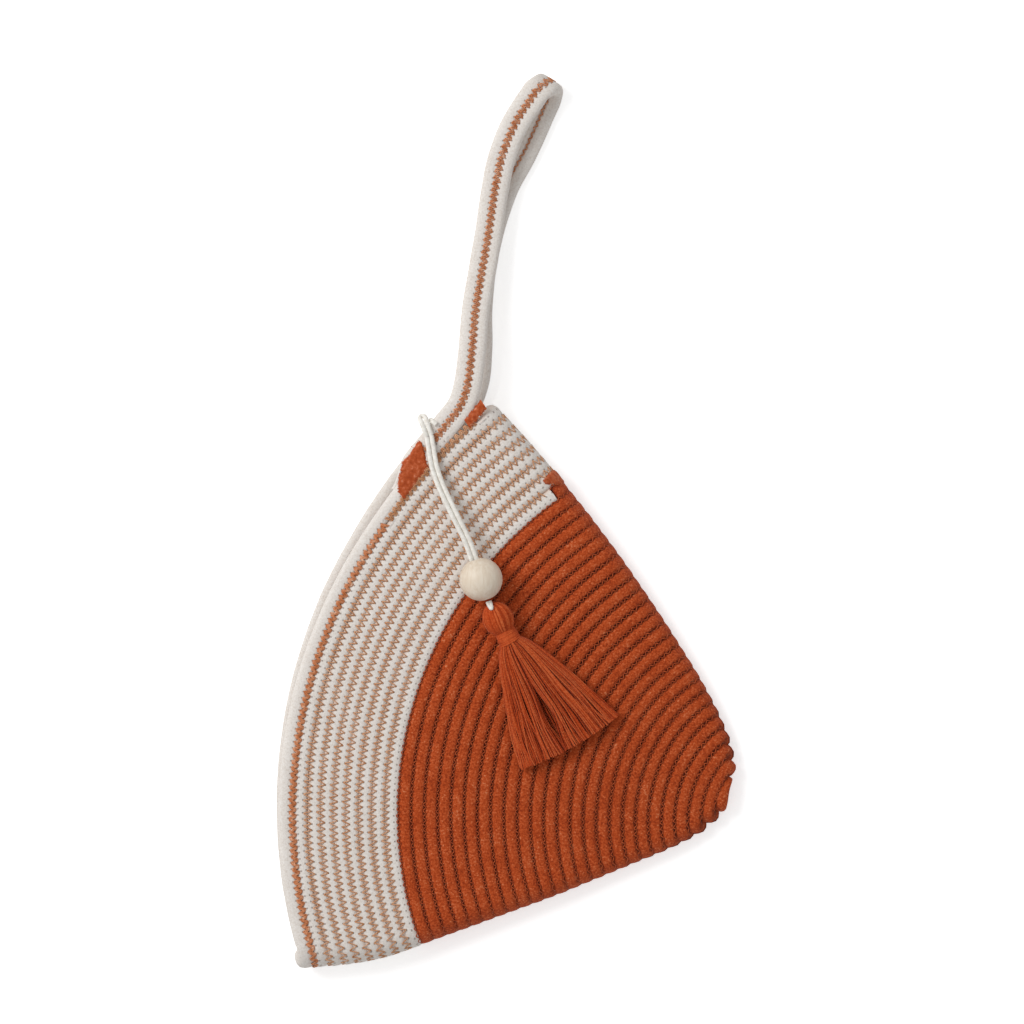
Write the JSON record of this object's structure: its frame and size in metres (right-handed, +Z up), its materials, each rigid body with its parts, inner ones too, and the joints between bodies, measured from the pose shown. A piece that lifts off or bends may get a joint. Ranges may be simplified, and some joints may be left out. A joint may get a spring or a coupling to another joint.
{
  "type": "clutch bag",
  "caption": "Wristlet clutch of coiled, zigzag-sewn cotton rope: a flattened cone in rust and natural white, with a rope wrist strap and a cord charm with a wooden bead and a tassel.",
  "frame": {"origin": "centre of the bag and strap on the table, under the back panel, measured without the charm", "axes": "+X and +Y lie on the table, +Y towards the strap's bend, +Z up through the bag's thickness"},
  "size_m": [0.2106, 0.4114, 0.0405],
  "materials": {
    "rust_rope": "heathered rust cotton rope, matt, with zigzag sewing in rust thread",
    "white_rope": "natural white cotton rope, matt, with zigzag sewing in tan and rust thread",
    "rust_thread": "dense satin stitches in rust polyester thread, with a soft sheen",
    "white_cord": "thin braided white cotton cord, matt",
    "pale_wood": "turned pale beech, sanded and unvarnished",
    "tassel_yarn": "rust cotton yarn, matt, hanging in loose strands"
  },
  "bodies": {
    "bag": {"rust_rope": "rust_rope", "white_rope": "white_rope", "rim_rope": "white_rope", "strap_end_rope": "white_rope", "strap_inner_front_bend": "white_rope", "strap_inner_back_bend": "white_rope", "strap_outer_front_bend": "white_rope", "strap_outer_back_bend": "white_rope", "rim_patch": "rust_thread", "strap_bar": "rust_thread"},
    "strap": {"strap_inner_rope": "white_rope", "strap_outer_rope": "white_rope"},
    "tie": {"cord_tie": "white_cord"},
    "cord": {"cord_strand_left": "white_cord", "cord_strand_right": "white_cord"},
    "bead": {"bead": "pale_wood"},
    "loop": {"tassel_loop": "white_cord"},
    "tassel": {"tassel_yarn": "tassel_yarn", "tassel_binding": "tassel_yarn"}
  },
  "joints": [
    {"name": "strap_fold", "type": "hinge", "parent": "bag", "child": "strap", "pos_m": [-0.01635, 0.06171, 0.01148], "axis": [0.9781, -0.2079, 0], "range_deg": [-90, 75], "deforming": ["strap_inner_front_bend", "strap_inner_back_bend", "strap_outer_front_bend", "strap_outer_back_bend"]},
    {"name": "charm_lift", "type": "hinge", "parent": "bag", "child": "tie", "pos_m": [-0.03501, 0.03917, 0.02096], "axis": [-0.6779, -0.7346, 0.028], "range_deg": [0, 110]},
    {"name": "charm_swing", "type": "hinge", "parent": "tie", "child": "cord", "pos_m": [-0.03458, 0.03861, 0.02498], "axis": [0.0656, -0.0223, 0.9976], "range_deg": [-25, 25]},
    {"name": "bead_slide", "type": "slide", "parent": "cord", "child": "bead", "axis": [-0.3264, 0.9443, 0.0426], "range_m": [0, 0.02]},
    {"name": "tassel_lift", "type": "hinge", "parent": "cord", "child": "loop", "pos_m": [-0.00761, -0.03798, 0.03018], "axis": [-0.943, -0.3284, 0.0547], "range_deg": [0, 60]},
    {"name": "tassel_swing", "type": "hinge", "parent": "loop", "child": "tassel", "pos_m": [-0.00761, -0.03798, 0.03018], "axis": [0.0656, -0.0223, 0.9976], "range_deg": [-30, 30]}
  ]
}
